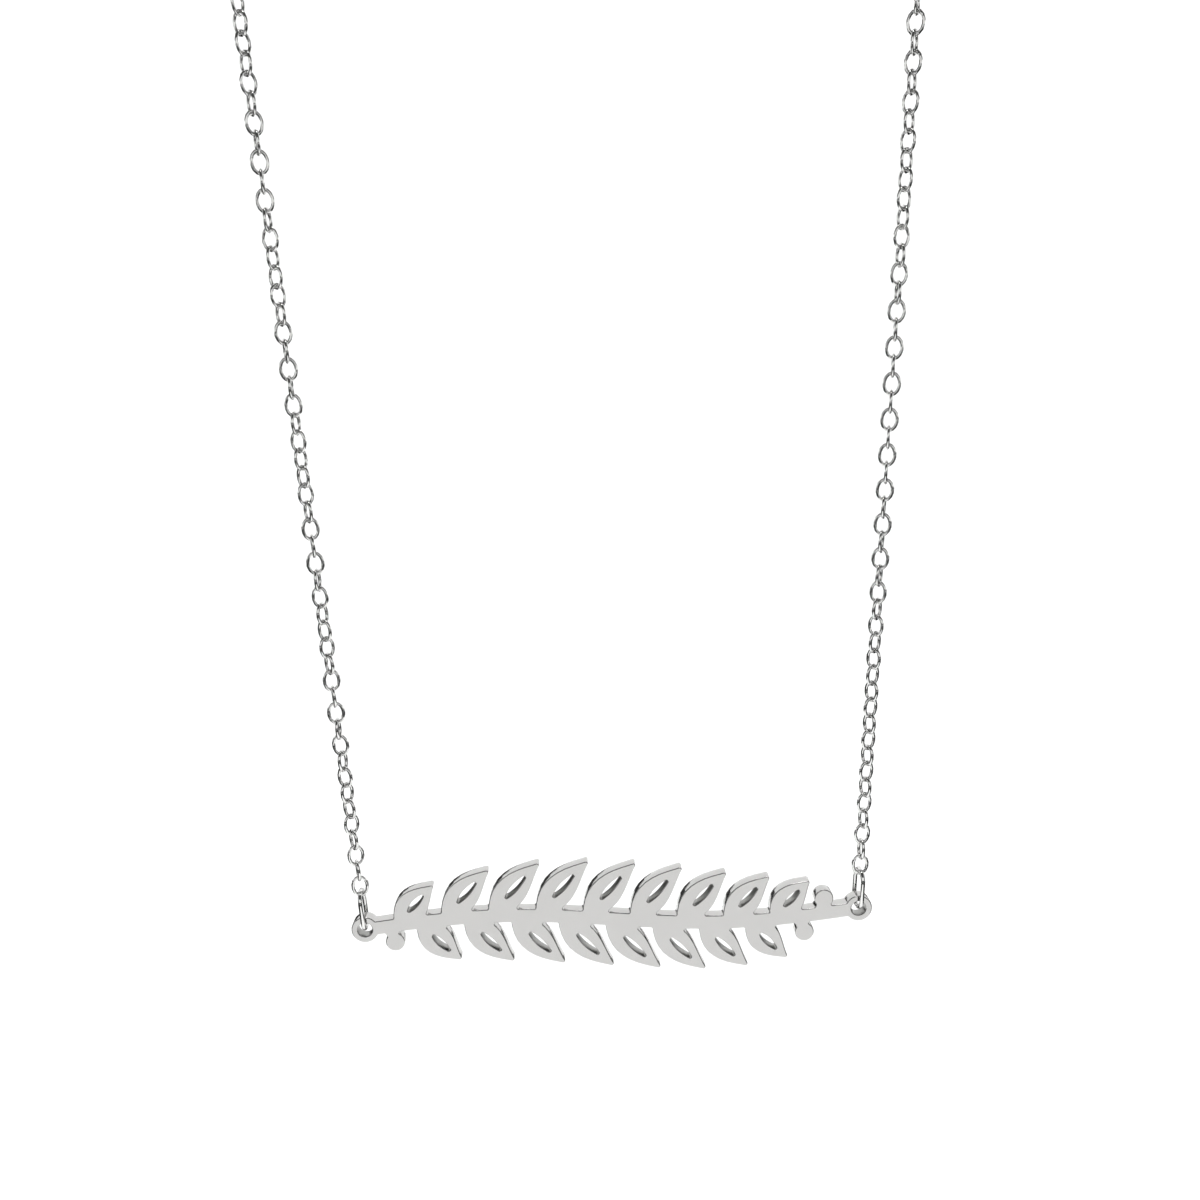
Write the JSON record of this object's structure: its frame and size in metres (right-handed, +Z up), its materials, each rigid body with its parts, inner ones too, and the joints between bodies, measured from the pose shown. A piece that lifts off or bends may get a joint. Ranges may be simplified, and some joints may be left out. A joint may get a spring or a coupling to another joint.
{
  "type": "nameplate necklace",
  "caption": "Flat pierced nameplate cut as a leafy branch, hung by its end eyelets from a fine cable chain, in a whole loop closed by a spring ring clasp.",
  "frame": {"origin": "under the crest of the loop, at the clasp, where a neck or a display form holds it", "axes": "+Z up, from the nameplate to the clasp; the front of the nameplate faces -Y; +X is the wearer's left"},
  "size_m": [0.0622, 0.0059, 0.1748],
  "materials": {
    "plate": "polished",
    "wire": "polished",
    "clasp": "polished"
  },
  "bodies": {
    "root": {"nameplate": "plate", "jump_link_left": "wire", "jump_link_right": "wire", "chain_left": "wire", "chain_right": "wire", "spring_ring_clasp": "clasp", "end_ring": "clasp"}
  },
  "joints": []
}
